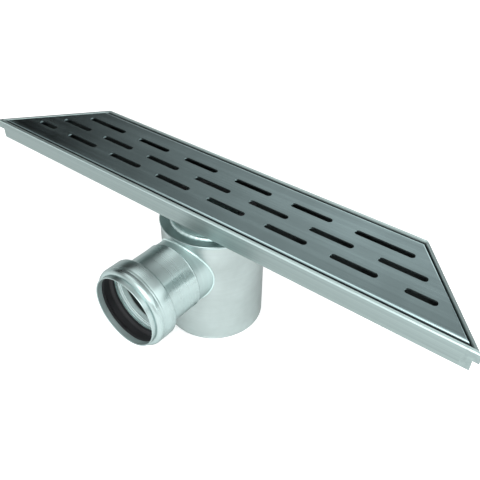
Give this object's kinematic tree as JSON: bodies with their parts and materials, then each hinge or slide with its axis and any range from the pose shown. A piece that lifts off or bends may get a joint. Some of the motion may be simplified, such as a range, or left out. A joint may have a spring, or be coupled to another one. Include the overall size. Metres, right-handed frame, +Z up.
{
  "type": "linear shower drain",
  "caption": "Linear shower drain: slotted grate in a long channel with mitred ends, on a round trap pot with a side outlet and push-fit pipe socket.",
  "frame": {"origin": "centre of the round pot's underside, where the drain stands", "axes": "+X along the channel, +Y towards the channel's short side, +Z up to the grate; the outlet points along -Y"},
  "size_m": [0.6, 0.1915, 0.1705],
  "materials": {
    "stainless_steel": "brushed stainless steel",
    "grate_steel": "finely brushed along the channel",
    "rubber": "matte black",
    "plastic": "moulded, dark grey"
  },
  "bodies": {
    "root": {"channel_trough": "stainless_steel", "grate": "grate_steel", "outlet_neck": "stainless_steel", "pot_top": "stainless_steel", "pot_shell": "stainless_steel", "pot_base": "stainless_steel", "outlet_stub": "stainless_steel", "outlet_socket": "stainless_steel", "socket_seal": "rubber", "grate_support_1": "stainless_steel", "grate_support_2": "stainless_steel", "grate_support_3": "stainless_steel", "grate_support_4": "stainless_steel", "grate_support_5": "stainless_steel", "grate_support_6": "stainless_steel", "grate_support_7": "stainless_steel", "grate_support_8": "stainless_steel", "support_buffer_1": "rubber", "support_buffer_2": "rubber", "support_buffer_3": "rubber", "support_buffer_4": "rubber", "support_buffer_5": "rubber", "support_buffer_6": "rubber", "support_buffer_7": "rubber", "support_buffer_8": "rubber", "trap_collar": "plastic", "trap_oring": "rubber", "dip_tube": "stainless_steel", "trap_handle": "stainless_steel", "hair_sieve": "stainless_steel", "sieve_knob": "stainless_steel"}
  },
  "joints": []
}
